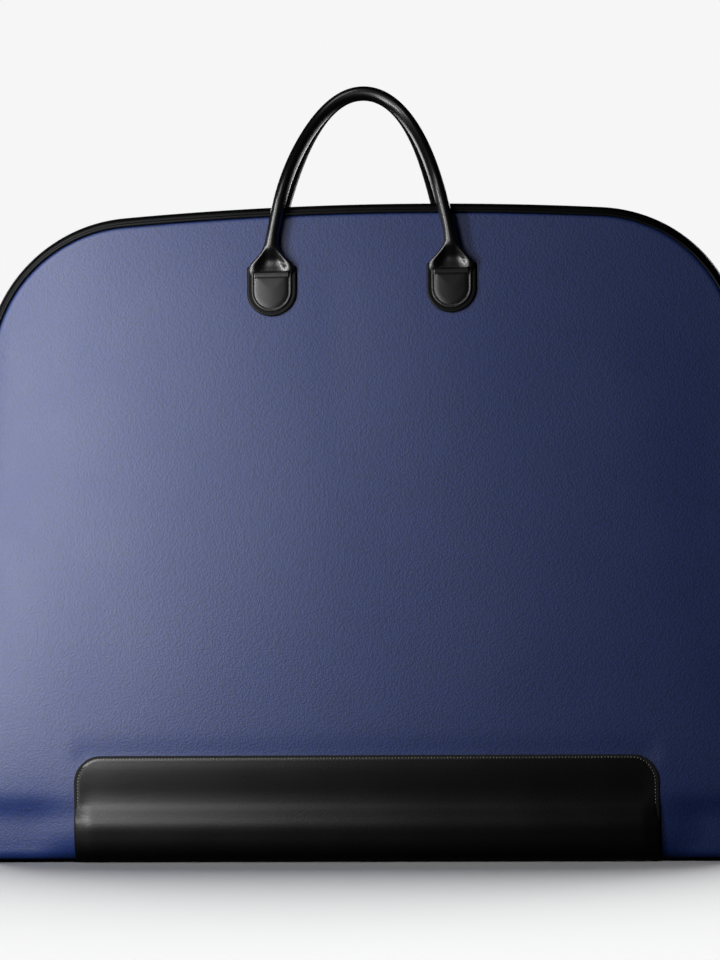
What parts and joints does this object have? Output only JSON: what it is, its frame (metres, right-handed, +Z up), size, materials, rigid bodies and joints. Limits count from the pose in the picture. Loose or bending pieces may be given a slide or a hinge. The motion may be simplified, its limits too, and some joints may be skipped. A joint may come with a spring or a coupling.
{
  "type": "garment bag",
  "caption": "Fold-over garment bag of two padded zipped halves hinged on a narrow base, with a rolled handle on each half and a hook that slides out of the top.",
  "frame": {"origin": "on the floor under the middle of the folded bag", "axes": "+X to the right along the width, +Y towards the back through the thickness, +Z up"},
  "size_m": [0.59, 0.1156, 0.6023],
  "materials": {
    "shell_blue": "pebbled coated leatherette, low gloss",
    "trim_black": "smooth semi-gloss",
    "lining": "fine twill",
    "webbing": "ribbed woven tape",
    "foam": "open foam",
    "fibre_board": "matt",
    "base_plastic": "matt",
    "black_plastic": "satin",
    "zip_metal": "dark nickel",
    "hook_steel": "bright",
    "steel": "plain zinc",
    "rope": "twisted cord"
  },
  "bodies": {
    "base": {"fold_base_cover": "shell_blue", "fold_base_ends": "trim_black", "fold_base_board": "base_plastic", "fold_base_lining": "lining", "fold_guard_base": "trim_black", "fold_side_ears": "trim_black", "crease_roll_cover": "lining", "crease_roll_core": "foam", "crease_roll_ends": "trim_black"},
    "front_half": {"front_panel": "shell_blue", "front_foam": "foam", "front_board": "fibre_board", "front_lining": "lining", "front_gusset": "trim_black", "front_piping": "trim_black", "front_fold_guard": "trim_black", "front_zip_tape": "webbing", "front_zip_teeth": "zip_metal", "front_zip_stops": "zip_metal", "front_tab_backings": "trim_black", "front_handle_tab_left": "trim_black", "front_handle_tab_right": "trim_black", "front_anchor_plates": "steel", "front_garment_straps": "webbing", "front_pocket": "lining", "front_pocket_binding": "webbing"},
    "front_handle": {"front_handle_cover": "trim_black", "front_handle_core": "rope"},
    "rear_half": {"rear_panel": "shell_blue", "rear_foam": "foam", "rear_board": "fibre_board", "rear_lining": "lining", "rear_gusset": "trim_black", "rear_piping": "trim_black", "rear_fold_guard": "trim_black", "rear_zip_tape": "webbing", "rear_zip_teeth": "zip_metal", "rear_zip_stops": "zip_metal", "rear_tab_backings": "trim_black", "rear_handle_tab_left": "trim_black", "rear_handle_tab_right": "trim_black", "rear_anchor_plates": "steel", "rear_garment_straps": "webbing", "hook_slot_rim": "hook_steel", "hook_guide": "black_plastic", "hook_guide_screws": "steel"},
    "rear_handle": {"rear_handle_cover": "trim_black", "rear_handle_core": "rope"},
    "slider": {"zip_slider": "zip_metal"},
    "pull": {"zip_pull_link": "zip_metal", "zip_pull_leather": "trim_black"},
    "hook": {"hanging_hook": "hook_steel", "hanger_bar": "hook_steel"}
  },
  "joints": [
    {"name": "front_fold", "type": "hinge", "parent": "base", "child": "front_half", "pos_m": [0, -0.0401, 0.00865], "axis": [1, 0, 0], "range_deg": [0, 88]},
    {"name": "rear_fold", "type": "hinge", "parent": "base", "child": "rear_half", "pos_m": [0, 0.0401, 0.00865], "axis": [-1, 0, 0], "range_deg": [0, 88]},
    {"name": "front_handle_bend", "type": "hinge", "parent": "front_half", "child": "front_handle", "pos_m": [0, -0.04958, 0.462], "axis": [-1, 0, 0], "range_deg": [-110, 0]},
    {"name": "rear_handle_bend", "type": "hinge", "parent": "rear_half", "child": "rear_handle", "pos_m": [0, 0.04958, 0.462], "axis": [1, 0, 0], "range_deg": [-110, 0]},
    {"name": "zip_slide", "type": "slide", "parent": "rear_half", "child": "slider", "axis": [0, 0, 1], "range_m": [0, 0.31]},
    {"name": "pull_swing", "type": "hinge", "parent": "slider", "child": "pull", "pos_m": [0.2931, 0, 0.062], "axis": [0, -1, 0], "range_deg": [0, 150]},
    {"name": "hook_slide", "type": "slide", "parent": "rear_half", "child": "hook", "axis": [0, 0, 1], "range_m": [0, 0.073]}
  ]
}
